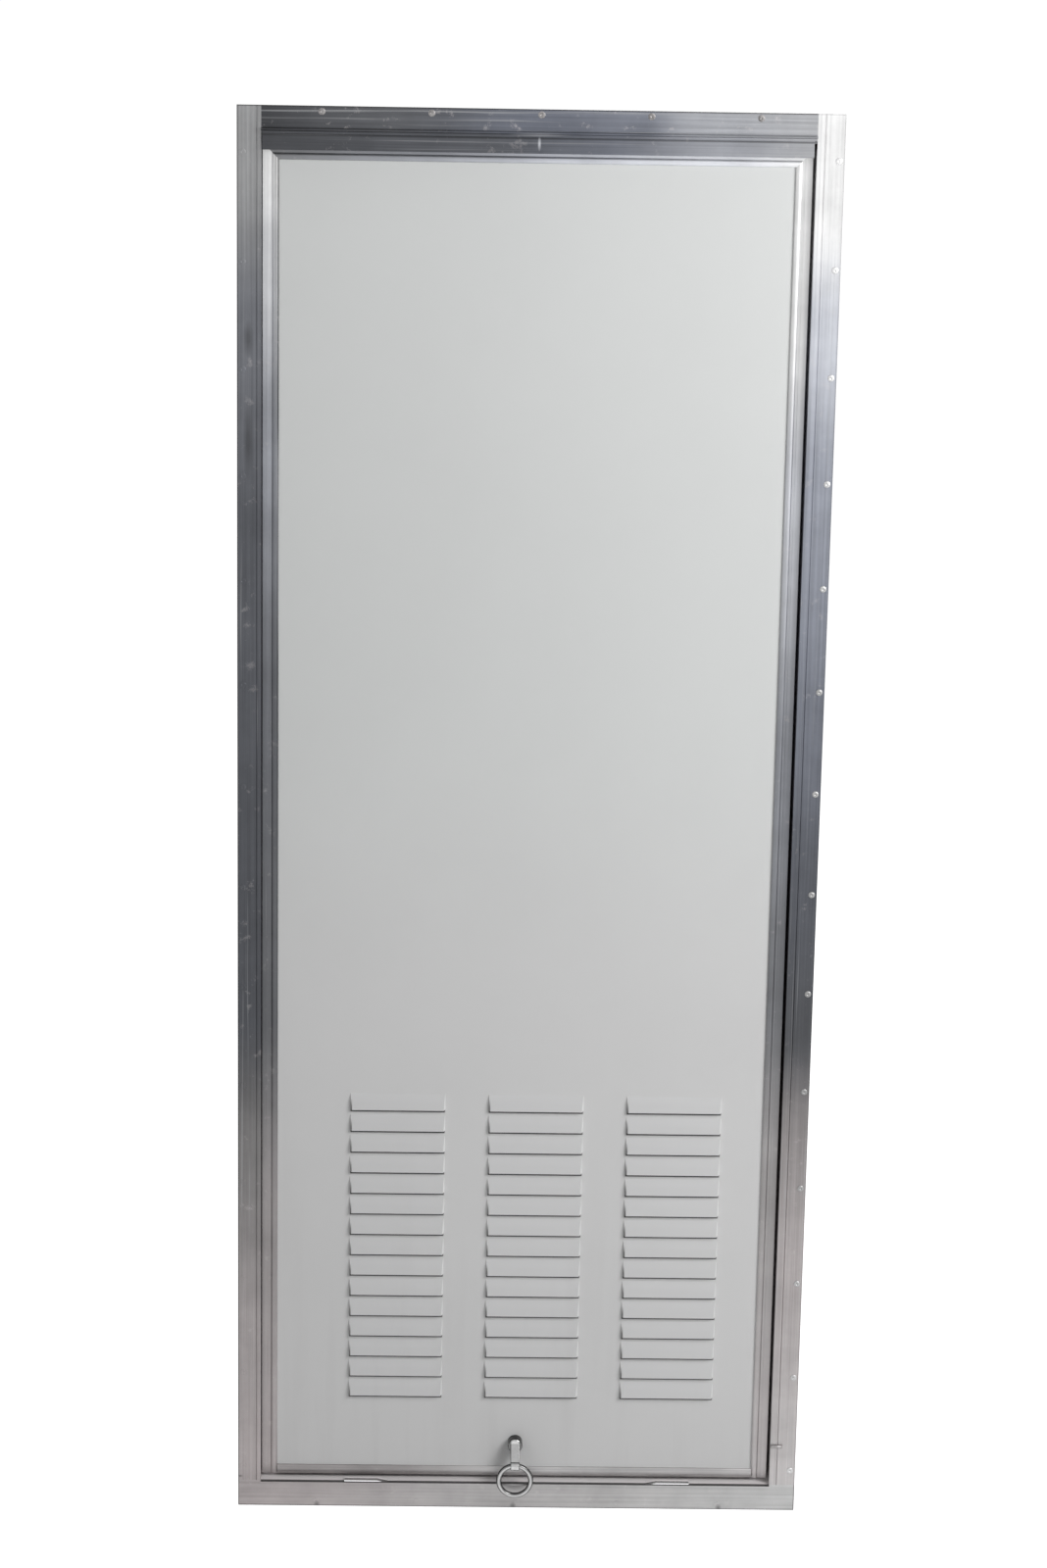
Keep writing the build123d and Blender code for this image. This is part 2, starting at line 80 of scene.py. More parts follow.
# Screw heads, rivets and the loose pin, in metres
SCREW_PITCH = 0.11
SCREW_FROM_EDGE = 0.0055
JAMB_SCREWS = 14
RAIL_SCREWS = 5
FLANGE_WALL = 0.0016
HEAD_RADIUS = 0.0036
HEAD_HEIGHT = 0.0013
FLAT_HEAD = 0.0004
RECESS_RADIUS = 0.0012
SHANK_RADIUS = 0.0021
RIVET_RADIUS = 0.0032
RIVET_HEIGHT = 0.0014
RIVET_PLACES = (0.3, 0.7)
ROUND_SEGMENTS = 20
DOME_RINGS = 6
RIGHT_FLANGE = 0.028
PIN_LENGTH = 0.0125
PIN_RADIUS = 0.0017
PIN_HEIGHT = 0.061
PIN_INSET = 0.0005
PIN_CHAMFER = 0.0005

# Smudges and painted light and shade on the metal, lengths in metres and strengths as shares of one
EDGE_LINE = 0.0013
NOSE_LINE = -0.0005
NOSE_SOFTNESS = 0.0005
BEAD_START = -0.268
BEAD_SHADE = 0.36
BEAD_END = -0.2646
BEAD_END_SHADE = 0.82
BEAD_SOFTNESS = 0.0006
BEAD_FADE_LOW = 0.1
BEAD_FADE_HIGH = 1.2
SMUDGE_AND_SHADOW_SHARE = 0.55
METAL_SHARE = 0.8
LIT_LEDGE_METAL_SHARE = 0.1

# Pull, in metres
PULL_X = -0.0025
LUG_SIDE_START = 0.0038
LUG_SIDE_END = 0.0046

# Louvre bank, in metres
LOUVRE_WIDTH = 0.1015
LOUVRE_COLUMNS = 3
LOUVRE_COLUMN_PITCH = 0.148
LOUVRE_MIDDLE = 0.0135
LOUVRE_ROWS = 15
LOUVRE_ROW_PITCH = 0.0236
LOWEST_LIP = 0.11255
HIGHEST_LIP = LOWEST_LIP + (LOUVRE_ROWS - 1) * LOUVRE_ROW_PITCH

# Enamel and the painted shade on it, under the louvre lips, up the hoods' left ends and on the hoods'
# upper faces, lengths in metres and strengths as shares of one
ENAMEL_TINT = (0.982, 1.0, 0.992, 1.0)
HOOD_TOP_SHADE = 0.09
LIP_LINE = (0.0026, 0.0035)
LIP_ENDS = (LOUVRE_WIDTH / 2 - 0.0008, LOUVRE_WIDTH / 2 + 0.0004)
HOOD_LEFT_END = (0.0014 - LOUVRE_WIDTH / 2, 0.0022 - LOUVRE_WIDTH / 2)
HOOD_TICK = (0.004, 0.0125)
HOOD_TICK_SHADE = 0.75
BANK_SOFTNESS = 0.001
BANK_BOTTOM = LOWEST_LIP - 0.006
BANK_TOP = HIGHEST_LIP + 0.014


def linear(level):
    """Linear value of a display level from 0 to 255."""
    value = level / 255
    return value / 12.92 if value <= 0.04045 else ((value + 0.055) / 1.055) ** 2.4


def grey(level, warmth=0.0):
    """Colour of a display level, redder for a positive warmth and bluer for a negative one."""
    value = linear(level)
    red, blue = (1 + 2 * warmth, 1.0) if warmth > 0 else (1 + warmth, 1 - 3 * warmth)
    return (value * red, value, value * blue, 1.0)


def cool_white(level):
    """Colour of a display level with the enamel's faint cool tint."""
    return [part * tint for part, tint in zip(grey(level), ENAMEL_TINT)]


class Finish:
    """A node material under construction, with its shader and object coordinates."""

    def __init__(self, name):
        self.material = bpy.data.materials.new(name)
        self.material.use_nodes = True
        self.tree = self.material.node_tree
        self.shader = self.tree.nodes["Principled BSDF"]
        coordinates = self.tree.nodes.new("ShaderNodeTexCoord").outputs
        self.place = coordinates["Object"]
        self.facing = coordinates["Normal"]

    def node(self, kind, links=None, **settings):
        """Add a node, set its properties and join or fill its inputs."""
        made = self.tree.nodes.new(kind)
        for key, value in settings.items():
            setattr(made, key, value)
        for key, value in (links or {}).items():
            self.join(value, made.inputs[key])
        return made

    def join(self, source, socket):
        """Link a socket to another, or set its value."""
        if isinstance(source, bpy.types.NodeSocket):
            self.tree.links.new(source, socket)
        else:
            socket.default_value = source

    def stretched(self, scale):
        """Object coordinates scaled along each axis."""
        return self.node("ShaderNodeMapping", {"Vector": self.place, "Scale": scale}).outputs["Vector"]

    def noise(self, scale, detail=4.0, roughness=0.55, vector=None):
        """Noise between about 0.3 and 0.7."""
        links = {"Vector": vector or self.place, "Scale": scale}
        links.update({"Detail": detail, "Roughness": roughness})
        return self.node("ShaderNodeTexNoise", links).outputs["Fac"]

    def rescale(self, value, low, high, to_low=0.0, to_high=1.0):
        """Value rescaled from one range to another and clamped."""
        links = {"Value": value, "From Min": low, "From Max": high, "To Min": to_low, "To Max": to_high}
        return self.node("ShaderNodeMapRange", links).outputs["Result"]

    def maths(self, operation, first, second):
        """One arithmetic step."""
        return self.node("ShaderNodeMath", {0: first, 1: second}, operation=operation).outputs["Value"]

    def axis(self, index, vector=None):
        """One object coordinate, or one part of another vector."""
        return self.node("ShaderNodeSeparateXYZ", {"Vector": vector or self.place}).outputs[index]

    def spot(self, centre, reach):
        """One at a place, falling to nought at a reach along each axis."""
        offset = self.node("ShaderNodeVectorMath", {0: self.place, 1: centre}, operation="SUBTRACT")
        scaled = self.node("ShaderNodeVectorMath", {0: offset.outputs[0], 1: reach}, operation="DIVIDE")
        length = self.node("ShaderNodeVectorMath", {0: scaled.outputs[0]}, operation="LENGTH")
        return self.rescale(length.outputs["Value"], 0.2, 1.0, 1.0, 0.0)

    def ramp(self, value, stops):
        """Colour ramp through (position, colour) stops."""
        made = self.node("ShaderNodeValToRGB", {"Fac": value})
        made.color_ramp.interpolation = "EASE"
        elements = made.color_ramp.elements
        while len(elements) < len(stops):
            elements.new(0.5)
        for element, (position, colour) in zip(elements, stops):
            element.position = position
            element.color = colour
        return made.outputs["Color"]

    def blend(self, amount, first, second, mode="MIX"):
        """Two colours mixed."""
        made = self.node("ShaderNodeMix", data_type="RGBA", blend_type=mode)
        self.join(amount, made.inputs["Factor"])
        self.join(first, made.inputs["A"])
        self.join(second, made.inputs["B"])
        return made.outputs["Result"]

    def bump(self, height, strength, distance, below=None):
        """Bump from a height, on top of another normal."""
        links = {"Height": height, "Strength": strength, "Distance": distance}
        if below:
            links["Normal"] = below
        return self.node("ShaderNodeBump", links).outputs["Normal"]

    def finish(self, **inputs):
        """Join the shader's inputs and hand over the material."""
        for name, value in inputs.items():
            self.join(value, self.shader.inputs[name.replace("_", " ")])
        return self.material


def edge_line(make):
    """Mask of the painted shade line along the outer edges of the flange."""
    nearest = EDGE_LINE
    for axis, low, high in ((0, LOW_X, HIGH_X), (2, LOW_Z, HIGH_Z)):
        place = make.axis(axis)
        nearest = make.maths("MINIMUM", nearest, make.maths("SUBTRACT", place, low))
        nearest = make.maths("MINIMUM", nearest, make.maths("SUBTRACT", high, place))
    return make.rescale(nearest, EDGE_LINE / 2, EDGE_LINE, 1.0, 0.0)


def bead_shade(make):
    """Shade on the left rim's bead, deepest along its inner edge and fading towards the foot."""
    across = make.axis(0)
    inner = make.rescale(across, BEAD_START, BEAD_START + BEAD_SOFTNESS, 0.0, BEAD_SHADE)
    innermost = make.rescale(across, BEAD_END - BEAD_SOFTNESS, BEAD_END, 0.0, BEAD_END_SHADE)
    fading = make.rescale(make.axis(2), BEAD_FADE_LOW, BEAD_FADE_HIGH)
    return make.maths("MULTIPLY", make.maths("MAXIMUM", inner, innermost), fading)


def mill_aluminium(
    name, axis, low, high, stops, grain, dabs=0.25, smudges=(), edge=0.75, bead=False, dusty=False
):
    """Weathered mill-finish aluminium with grain and scratches, its tone drifting along one axis with
    painted reflection as well as its own tone, painted shade on the bead and along the outer edges, and
    painted light on the ledge.
    """
    make = Finish(name)
    tone = make.ramp(make.rescale(make.axis(axis), low, high), stops)
    # Painted shade on the left rim's bead, deepest along its inner edge
    if bead:
        tone = make.blend(bead_shade(make), tone, grey(0))
    cloud = make.noise(16.0, detail=5.0, roughness=0.6)
    mottled = make.blend(make.rescale(cloud, 0.35, 0.7, 0.0, 0.24), tone, grey(120), "MULTIPLY")
    drawn = make.noise(1.0, detail=4.0, roughness=0.65, vector=make.stretched(grain))
    streaks = make.ramp(drawn, [(0.3, grey(120)), (0.7, grey(245))])
    streaked = make.blend(0.16, mottled, streaks, "OVERLAY")
    spots = make.rescale(make.noise(70.0, detail=6.0, roughness=0.7), 0.6, 0.72)
    colour = make.blend(make.maths("MULTIPLY", spots, dabs), streaked, grey(196, 0.03))
    finer_grain = make.stretched([step * 0.8 for step in grain])
    fine = make.noise(1.0, detail=2.0, roughness=0.5, vector=finer_grain)
    scratches = make.maths("MULTIPLY", make.rescale(fine, 0.62, 0.7), dabs)
    colour = make.blend(scratches, colour, grey(168, -0.01))
    # Smudges, and on the hinge band a painted shadow line under the header
    for centre, reach, level in smudges:
        smudge = make.maths("MULTIPLY", make.spot(centre, reach), SMUDGE_AND_SHADOW_SHARE)
        colour = make.blend(smudge, colour, grey(level, -0.02))
    # Painted shade line along the flange's outer edges
    colour = make.blend(make.maths("MULTIPLY", edge_line(make), edge), colour, grey(48, 0.02))
    metallic = METAL_SHARE
    if dusty:
        # Painted light on the sill's upward faces, made less metallic, with a painted shade line along
        # the nose's front edge
        upward = make.rescale(make.axis(2, make.facing), 0.6, 0.9)
        nose = make.rescale(make.axis(1), NOSE_LINE, NOSE_LINE + NOSE_SOFTNESS)
        dust = make.blend(nose, grey(70, 0.02), grey(236, 0.02))
        colour = make.blend(upward, colour, dust)
        metallic = make.rescale(upward, 0.0, 1.0, METAL_SHARE, LIT_LEDGE_METAL_SHARE)
    roughness = make.rescale(drawn, 0.3, 0.7, 0.36, 0.52)
    pits = make.noise(420.0, detail=2.0)
    normal = make.bump(pits, 0.05, 0.0004, make.bump(drawn, 0.06, 0.0006))
    return make.finish(Base_Color=colour, Metallic=metallic, Roughness=roughness, Normal=normal)


def louvre_painted_shade(make):
    """Painted shade under each louvre's lip and up the left end of its hood."""
    across = make.maths("SUBTRACT", make.axis(0), LOUVRE_MIDDLE)
    half_pitch = LOUVRE_COLUMN_PITCH / 2
    wrapped = make.maths("FLOORED_MODULO", make.maths("ADD", across, half_pitch), LOUVRE_COLUMN_PITCH)
    column = make.maths("SUBTRACT", wrapped, half_pitch)
    inside = make.rescale(make.maths("ABSOLUTE", column, 0.0), *LIP_ENDS, 1.0, 0.0)
    bank_half = LOUVRE_COLUMNS / 2 * LOUVRE_COLUMN_PITCH
    off_middle = make.maths("ABSOLUTE", across, 0.0)
    bank = make.rescale(off_middle, bank_half, bank_half + BANK_SOFTNESS, 1.0, 0.0)
    height = make.axis(2)
    below = make.maths("FLOORED_MODULO", make.maths("SUBTRACT", LOWEST_LIP, height), LOUVRE_ROW_PITCH)
    line = make.rescale(below, *LIP_LINE, 1.0, 0.0)
    above = make.maths("SUBTRACT", LOUVRE_ROW_PITCH, below)
    left_end = make.rescale(column, *HOOD_LEFT_END, 1.0, 0.0)
    tick = make.maths("MULTIPLY", left_end, make.rescale(above, *HOOD_TICK, HOOD_TICK_SHADE, 0.0))
    mark = make.maths("MAXIMUM", line, tick)
    low = make.rescale(height, BANK_BOTTOM, BANK_BOTTOM + BANK_SOFTNESS)
    high = make.rescale(height, BANK_TOP, BANK_TOP + BANK_SOFTNESS, 1.0, 0.0)
    for limit in (inside, bank, low, high):
        mark = make.maths("MULTIPLY", mark, limit)
    return mark


def white_paint():
    """Baked white enamel, a little uneven, with dirt settled low down, painted shade on the hoods'
    upper faces and painted shade under the louvre lips.
    """
    make = Finish("white_enamel")
    tone = make.ramp(make.rescale(make.axis(2), 0.0, 1.5), ENAMEL_TONES)
    cloud = make.noise(5.0, detail=4.0)
    clouded = make.blend(make.rescale(cloud, 0.4, 0.7, 0.0, 0.06), tone, grey(190))
    runs = make.noise(1.0, detail=4.0, roughness=0.6, vector=make.stretched((30.0, 30.0, 2.2)))
    low = make.rescale(make.axis(2), 0.05, 0.5, 1.0, 0.0)
    stain = make.maths("MULTIPLY", make.rescale(runs, 0.5, 0.75, 0.0, 0.12), low)
    stained = make.blend(stain, clouded, grey(168, 0.03))
    # Painted shade on the upward-tilted faces of the hoods
    upward = make.rescale(make.axis(2, make.facing), 0.04, 0.2, 0.0, HOOD_TOP_SHADE)
    hood_shaded = make.blend(upward, stained, grey(120, -0.06))
    # Painted shade lines under the louvre lips and ticks at the hoods' left ends
    colour = make.blend(louvre_painted_shade(make), hood_shaded, grey(36, 0.02))
    roughness = make.rescale(cloud, 0.35, 0.7, 0.5, 0.58)
    waves = make.noise(3.2, detail=2.0, roughness=0.4)
    peel = make.noise(260.0, detail=2.0)
    normal = make.bump(peel, 0.04, 0.0005, make.bump(waves, 0.25, 0.004))
    return make.finish(Base_Color=colour, Roughness=roughness, Normal=normal)


def chrome_plate(name, stops, dark_sides=0.0):
    """Worn bright plating with painted reflection, darker where it turns from the front and along the
    lug's sides.
    """
    make = Finish(name)
    rubs = make.noise(180.0, detail=5.0, roughness=0.65)
    # Painted reflection: brighter where the surface faces the front
    front = make.maths("MULTIPLY", make.axis(1, make.facing), -1.0)
    bright = make.ramp(front, stops)
    colour = make.blend(make.rescale(rubs, 0.4, 0.7, 0.0, 0.3), bright, grey(120))
    # Painted reflection: darker along the lug's sides
    off_middle = make.maths("ABSOLUTE", make.maths("SUBTRACT", make.axis(0), PULL_X), 0.0)
    side = make.rescale(off_middle, LUG_SIDE_START, LUG_SIDE_END, 0.0, dark_sides)
    colour = make.blend(side, colour, grey(48))
    roughness = make.rescale(rubs, 0.35, 0.7, 0.12, 0.3)
    normal = make.bump(rubs, 0.06, 0.0004)
    return make.finish(Base_Color=colour, Metallic=1.0, Roughness=roughness, Normal=normal)


def zinc_plate(name, dark, light):
    """Dull zinc plating with spangled grey patches."""
    make = Finish(name)
    patches = make.noise(240.0, detail=4.0)
    colour = make.ramp(patches, [(0.35, grey(dark, 0.02)), (0.65, grey(light, 0.02))])
    roughness = make.rescale(patches, 0.3, 0.7, 0.35, 0.55)
    normal = make.bump(patches, 0.1, 0.0004)
    return make.finish(Base_Color=colour, Metallic=0.9, Roughness=roughness, Normal=normal)


def seal_foam():
    """Black closed-cell foam with a pitted skin."""
    make = Finish("black_foam")
    cells = make.noise(900.0, detail=3.0)
    colour = make.ramp(cells, [(0.35, grey(20)), (0.7, grey(44))])
    return make.finish(Base_Color=colour, Roughness=0.9, Normal=make.bump(cells, 0.5, 0.0005))


def paint_node(name, material):
    """Give a carried-over solid its finish."""
    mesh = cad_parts[name].data
    mesh.materials.clear()
    mesh.materials.append(material)


# Scales of the drawn grain along each axis
UPRIGHT = (420.0, 420.0, 4.0)
ACROSS = (4.0, 420.0, 420.0)

# Marks as centre, reach along each axis and display level
LEFT_SMUDGES = [
    ((-0.2935, 0.0, 1.274), (0.006, 0.05, 0.02), 70),
    ((-0.2935, 0.0, 1.168), (0.006, 0.05, 0.042), 52),
    ((-0.303, 0.0, 0.0195), (0.0035, 0.05, 0.002), 30),
]
HINGE_MARKS = [
    ((-0.002, 0.0, 1.4845), (0.034, 0.05, 0.0024), 170),
    # Painted shadow line across the hinge band, under the header's drip lip
    ((0.0, 0.0, 1.4803), (9.0, 0.05, 0.0013), 24),
    ((-0.002, 0.0, 1.475), (0.0019, 0.05, 0.008), 230),
]
SILL_MARKS = [((x, 0.0, LOW_Z + 0.0008), (0.004, 0.05, 0.006), 16) for x in (-0.219, -0.004, 0.222)]

# Tones as share of the length or, on plating, of facing the front, and colour. On the aluminium they
# carry painted reflection and highlight as well as the metal's own tone, and on plating painted
# reflection.
ENAMEL_TONES = [
    (0.0, grey(229)), (0.35, grey(229)), (0.6, cool_white(231)), (1.0, cool_white(235)),
]
LEFT_TONES = [
    (0.0, grey(156, 0.05)), (0.12, grey(150, 0.04)), (0.27, grey(118, 0.015)), (0.37, grey(80, -0.04)),
    (0.7, grey(92, -0.04)), (0.86, grey(114, -0.035)), (0.96, grey(156, -0.005)),
]
RIGHT_TONES = [
    (0.0, grey(178, 0.02)), (0.2, grey(159, 0.04)), (0.28, grey(136, 0.035)), (0.36, grey(82, -0.03)),
    (0.46, grey(88, -0.05)), (0.59, grey(120, -0.06)), (0.75, grey(150, -0.05)),
    (0.86, grey(196, -0.03)), (0.93, grey(226)),
]
HEADER_TONES = [
    (0.0, grey(70, -0.03)), (0.25, grey(96, -0.03)), (0.5, grey(112, -0.07)),
    (0.66, grey(124, -0.06)), (0.76, grey(162, -0.025)), (1.0, grey(170, -0.012)),
]
HINGE_TONES = [
    (0.0, grey(76, -0.03)), (0.4, grey(90, -0.04)), (0.6, grey(108, -0.06)),
    (0.8, grey(150, -0.03)), (1.0, grey(166, -0.012)),
]
SILL_TONES = [(0.0, grey(156, 0.045)), (0.5, grey(169, 0.012)), (1.0, grey(180))]
RAIL_TONES = [
    (0.0, grey(150, 0.035)), (0.25, grey(146, 0.03)), (0.5, grey(173, 0.01)), (1.0, grey(174, 0.015)),
]
LEFT_RIM = [
    (0.0, grey(160, 0.045)), (0.2, grey(148, 0.03)), (0.38, grey(104, -0.02)), (0.6, grey(112, -0.03)),
    (0.78, grey(158, -0.03)), (0.9, grey(210, -0.01)), (0.96, grey(236)),
]
RIGHT_RIM = [
    (0.0, grey(174, 0.03)), (0.25, grey(152, 0.02)), (0.38, grey(115, -0.02)), (0.55, grey(138, -0.03)),
    (0.75, grey(186, -0.02)), (0.86, grey(214)), (0.94, grey(222)),
]
TOP_RIM = [
    (0.0, grey(130, -0.01)), (0.3, grey(158, -0.03)), (0.55, grey(200, -0.03)),
    (0.8, grey(228, -0.02)), (1.0, grey(248)),
]
PLAIN_TONES = [(0.0, grey(150)), (1.0, grey(170))]
RIGHT_SCREW_TONES = [
    (0.0, grey(200)), (0.36, grey(150)), (0.6, grey(172)), (0.85, grey(224)), (0.93, grey(238)),
]
RING_TONES = [(0.3, grey(34)), (0.76, grey(84)), (0.94, grey(150)), (1.0, grey(184))]
LUG_TONES = [(0.1, grey(44)), (0.45, grey(96)), (0.62, grey(164)), (1.0, grey(190))]


def upright_metal(name, stops, **extras):
    """Aluminium drawn upright, its tone drifting with height."""
    return mill_aluminium(name, 2, LOW_Z, HIGH_Z, stops, UPRIGHT, **extras)


def level_metal(name, stops, **extras):
    """Aluminium drawn across, its tone drifting from left to right."""
    return mill_aluminium(name, 0, LOW_X, HIGH_X, stops, ACROSS, **extras)


left_metal = upright_metal("left_jamb_metal", LEFT_TONES, smudges=LEFT_SMUDGES)
right_metal = upright_metal("right_jamb_metal", RIGHT_TONES, edge=0.3)
# A lighter copy of the right jamb's metal for its screw heads, painted highlight
right_screw_metal = upright_metal("right_screw_metal", RIGHT_SCREW_TONES, edge=0.0)
header_metal = level_metal("header_metal", HEADER_TONES, dabs=0.5, smudges=HINGE_MARKS)
hinge_metal = level_metal("hinge_metal", HINGE_TONES, smudges=HINGE_MARKS)
sill_metal = level_metal("sill_metal", SILL_TONES, dusty=True, smudges=SILL_MARKS)
bottom_rim_metal = level_metal("bottom_rim_metal", RAIL_TONES)
left_rim_metal = upright_metal("left_rim_metal", LEFT_RIM, bead=True)
right_rim_metal = upright_metal("right_rim_metal", RIGHT_RIM)
top_rim_metal = level_metal("top_rim_metal", TOP_RIM)
clip_metal = upright_metal("clip_metal", PLAIN_TONES)
ring_chrome = chrome_plate("ring_chrome", RING_TONES)
lug_chrome = chrome_plate("lug_chrome", LUG_TONES, dark_sides=0.75)
zinc = zinc_plate("dull_zinc", dark=140, light=172)
# A darker copy of the zinc for the header's screws, painted shade
header_zinc = zinc_plate("header_zinc", dark=112, light=150)
foam = seal_foam()

CLIPS = [f"{level}_{side}_corner_clip" for level in ("upper", "lower") for side in ("left", "right")]
FINISHES = {
    "left_jamb": left_metal,
    "right_jamb": right_metal,
    "header": header_metal,
    "hinge_leaf": hinge_metal,
    "sill": sill_metal,
    "bottom_rail": bottom_rim_metal,
    "left_stile": left_rim_metal,
    "right_stile": right_rim_metal,
    "top_rail": top_rim_metal,
    "door_panel": white_paint(),
    "pull_lug": lug_chrome,
    "pull_ring": ring_chrome,
    "pull_nut": zinc,
    **{f"{side}_seal": foam for side in ("left", "right", "top", "sill")},
    **{clip: clip_metal for clip in CLIPS},
}
for node_name, finish in FINISHES.items():
    paint_node(node_name, finish)


def new_piece(name, material, body, slot, mesh_maker, *details):
    """Make a mesh piece, finish it and let it ride on a body."""
    shape = bmesh.new()
    mesh_maker(shape, *details)
    bmesh.ops.recalc_face_normals(shape, faces=shape.faces)
    mesh = bpy.data.meshes.new(name)
    shape.to_mesh(mesh)
    shape.free()
    mesh.materials.append(material)
    for face in mesh.polygons:
        face.use_smooth = True
    piece = bpy.data.objects.new(name, mesh)
    bpy.context.scene.collection.objects.link(piece)
    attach(piece, body)


def turned_shape(shape, profile, placement):
    """Solid of revolution about its own Z from (radius, height) points, closed at both ends."""
    angles = [2 * pi * step / ROUND_SEGMENTS for step in range(ROUND_SEGMENTS)]
    rings = []
    for radius, height in profile:
        points = [placement @ Vector((radius * cos(a), radius * sin(a), height)) for a in angles]
        rings.append([shape.verts.new(point) for point in points])
    for lower, upper in zip(rings, rings[1:]):
        for step in range(ROUND_SEGMENTS):
            after = (step + 1) % ROUND_SEGMENTS
            shape.faces.new((lower[step], lower[after], upper[after], upper[step]))
    shape.faces.new(list(reversed(rings[0])))
    shape.faces.new(rings[-1])


def rivet_profile():
    """Domed rivet head, seated a little below its base."""
    angles = [pi / 2 * step / DOME_RINGS for step in range(DOME_RINGS)]
    dome = [(RIVET_RADIUS * cos(a), RIVET_HEIGHT * sin(a)) for a in angles]
    return [(RIVET_RADIUS, -RIVET_HEIGHT / 4)] + dome


def screw_profile(rise):
    """Screw from the flange's back to its low domed head, with a round drive recess."""
    start = FLANGE_WALL
    shank = [(SHANK_RADIUS, 0.0), (SHANK_RADIUS, start), (HEAD_RADIUS, start)]
    angles = [pi / 2 * step / (DOME_RINGS + 1) for step in range(1, DOME_RINGS)]
    dome = [(HEAD_RADIUS * cos(a), start + rise * sin(a)) for a in angles]
    recess = [(RECESS_RADIUS, start + rise * 0.95), (RECESS_RADIUS * 0.8, start + rise * 0.4)]
    return shank + dome + recess


def clip_rivets(shape):
    """Two rivets on the outside of each limb of the corner clips."""
    for clip in CLIPS:
        low, high = (Vector(corner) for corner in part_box(clip))
        outward = -1 if "left" in clip else 1
        upward = 1 if "upper" in clip else -1
        middle = (low + high) / 2
        side_x = low.x if outward < 0 else high.x
        flat_z = high.z if upward > 0 else low.z
        to_side = Matrix.Rotation(outward * pi / 2, 4, "Y")
        to_flat = Matrix.Rotation(pi if upward < 0 else 0, 4, "X")
        for share in RIVET_PLACES:
            depth = low.y + share * (high.y - low.y)
            on_leg = Matrix.Translation((side_x, depth, middle.z)) @ to_side
            on_rail = Matrix.Translation((middle.x, depth, flat_z)) @ to_flat
            turned_shape(shape, rivet_profile(), on_leg)
            turned_shape(shape, rivet_profile(), on_rail)


def flange_screws(shape, upright, side, rise):
    """Fixing screws in one member's row of holes, on the low side for -1 and the high side for 1."""
    facing = Matrix.Rotation(pi / 2, 4, "X")
    step = Vector((0, 0, SCREW_PITCH)) if upright else Vector((SCREW_PITCH, 0, 0))
    count = JAMB_SCREWS if upright else RAIL_SCREWS
    row = Vector((0, 0, (LOW_Z + HIGH_Z) / 2))
    if upright:
        row.x += side * ((HIGH_X - LOW_X) / 2 - SCREW_FROM_EDGE)
    else:
        row.z += side * ((HIGH_Z - LOW_Z) / 2 - SCREW_FROM_EDGE)
    for k in range(count):
        place = row + step * (k - (count - 1) / 2)
        turned_shape(shape, screw_profile(rise), Matrix.Translation(place) @ facing)


def jamb_pin(shape):
    """Short pin left lying across the right jamb's flange near the sill."""
    low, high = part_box("right_jamb")
    start = Vector((high[0] - RIGHT_FLANGE + PIN_INSET, low[1] - PIN_RADIUS * 0.8, PIN_HEIGHT))
    placement = Matrix.Translation(start) @ Matrix.Rotation(pi / 2, 4, "Y")
    end = PIN_RADIUS * 0.7
    barrel = [(PIN_RADIUS, PIN_CHAMFER), (PIN_RADIUS, PIN_LENGTH - PIN_CHAMFER)]
    turned_shape(shape, [(end, 0.0), *barrel, (end, PIN_LENGTH)], placement)


new_piece("corner_clip_rivets", zinc, "frame", "zinc_plate", clip_rivets)
new_piece("right_jamb_pin", zinc, "frame", "zinc_plate", jamb_pin)
SCREW_ROWS = [
    ("left_jamb_screws", True, -1, FLAT_HEAD, left_metal, "mill_aluminium"),
    ("right_jamb_screws", True, 1, HEAD_HEIGHT, right_screw_metal, "mill_aluminium"),
    ("header_screws", False, 1, FLAT_HEAD, header_zinc, "zinc_plate"),
    ("sill_screws", False, -1, FLAT_HEAD, sill_metal, "mill_aluminium"),
]
for row_name, upright, side, rise, metal, slot in SCREW_ROWS:
    new_piece(row_name, metal, "frame", slot, flange_screws, upright, side, rise)


def seen_ray(nodes, links):
    """One for camera, glossy and transmission rays, and nought for the rest."""
    path = nodes.new("ShaderNodeLightPath")
    total = path.outputs["Is Camera Ray"]
    for name in ("Is Glossy Ray", "Is Transmission Ray"):
        larger = nodes.new("ShaderNodeMath")
        larger.operation = "MAXIMUM"
        links.new(total, larger.inputs[0])
        links.new(path.outputs[name], larger.inputs[1])
        total = larger.outputs[0]
    return total


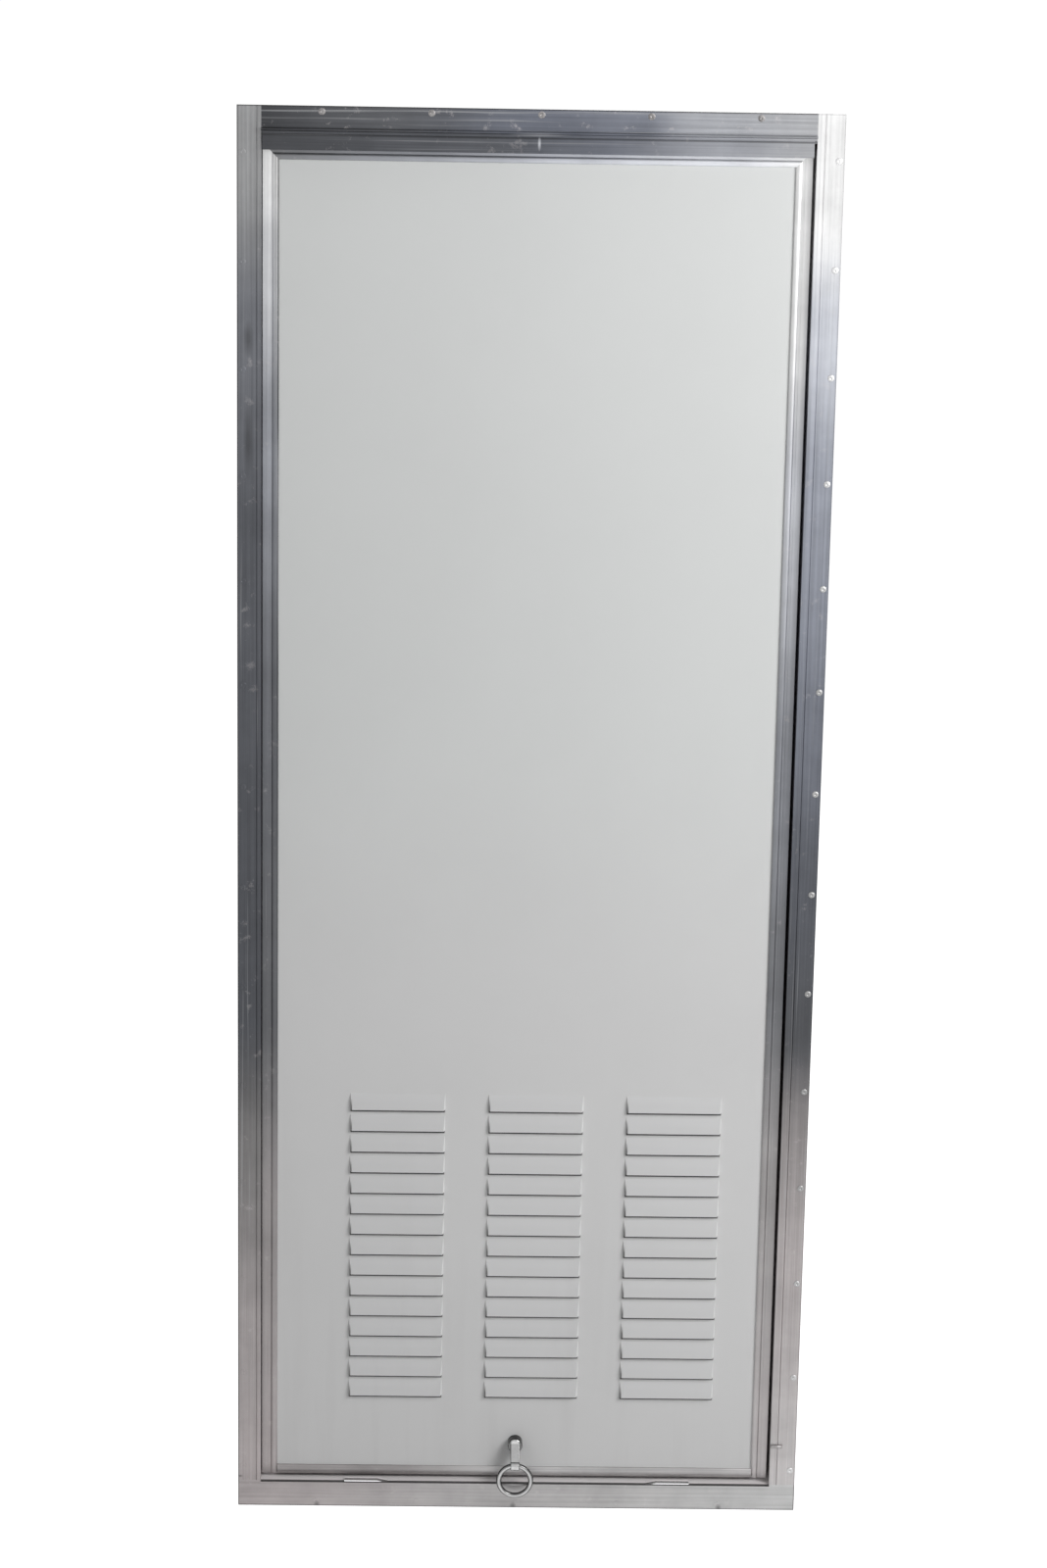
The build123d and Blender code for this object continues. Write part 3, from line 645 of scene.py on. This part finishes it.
def pale_floor():
    """White floor that glows to the camera and in reflections, and still takes a shadow."""
    bpy.ops.mesh.primitive_plane_add(size=FLOOR_SIZE, location=(0, 0, LOW_Z - FLOOR_GAP))
    floor = bpy.context.object
    floor.name = "floor"
    material = bpy.data.materials.new("floor_white")
    material.use_nodes = True
    nodes, links = material.node_tree.nodes, material.node_tree.links
    nodes.clear()
    diffuse = nodes.new("ShaderNodeBsdfDiffuse")
    diffuse.inputs["Color"].default_value = (FLOOR_GREY, FLOOR_GREY, FLOOR_GREY, 1)
    glow = nodes.new("ShaderNodeEmission")
    strength = nodes.new("ShaderNodeMath")
    strength.operation = "MULTIPLY"
    links.new(seen_ray(nodes, links), strength.inputs[0])
    strength.inputs[1].default_value = FLOOR_GLOW
    links.new(strength.outputs[0], glow.inputs["Strength"])
    both = nodes.new("ShaderNodeAddShader")
    links.new(diffuse.outputs[0], both.inputs[0])
    links.new(glow.outputs[0], both.inputs[1])
    links.new(both.outputs[0], nodes.new("ShaderNodeOutputMaterial").inputs["Surface"])
    floor.data.materials.append(material)


def white_world():
    """White surroundings, dimmer as light than as background."""
    world = bpy.data.worlds.new("studio")
    bpy.context.scene.world = world
    world.use_nodes = True
    nodes, links = world.node_tree.nodes, world.node_tree.links
    background = nodes["Background"]
    background.inputs["Color"].default_value = (1, 1, 1, 1)
    strength = nodes.new("ShaderNodeMapRange")
    links.new(seen_ray(nodes, links), strength.inputs["Value"])
    strength.inputs["To Min"].default_value = WORLD_STRENGTH
    strength.inputs["To Max"].default_value = 1.0
    links.new(strength.outputs["Result"], background.inputs["Strength"])


def soft_lamp(name, place, size, power):
    """Square area lamp aimed at the middle of the door."""
    lamp = bpy.data.lights.new(name, "AREA")
    lamp.size = size
    lamp.energy = power
    holder = bpy.data.objects.new(name, lamp)
    holder.location = place
    aim = Vector((0, 0, (LOW_Z + HIGH_Z) / 2)) - Vector(place)
    holder.rotation_euler = aim.to_track_quat("-Z", "Y").to_euler()
    bpy.context.scene.collection.objects.link(holder)


def photo_camera():
    """Camera with the photograph's place, direction and field of view."""
    camera = bpy.data.cameras.new("photo_camera")
    camera.sensor_fit = "VERTICAL"
    camera.sensor_height = SENSOR
    camera.lens = FOCAL_PIXELS / IMAGE_HEIGHT * SENSOR
    holder = bpy.data.objects.new("photo_camera", camera)
    holder.location = CAMERA_PLACE
    holder.rotation_euler = [radians(angle) for angle in CAMERA_TURN]
    bpy.context.scene.collection.objects.link(holder)
    bpy.context.scene.camera = holder


pale_floor()
white_world()
soft_lamp("key", KEY_PLACE, KEY_SIZE, KEY_POWER)
soft_lamp("fill", FILL_PLACE, FILL_SIZE, FILL_POWER)
soft_lamp("back", BACK_PLACE, BACK_SIZE, BACK_POWER)
photo_camera()
bpy.context.scene.view_settings.view_transform = "Standard"
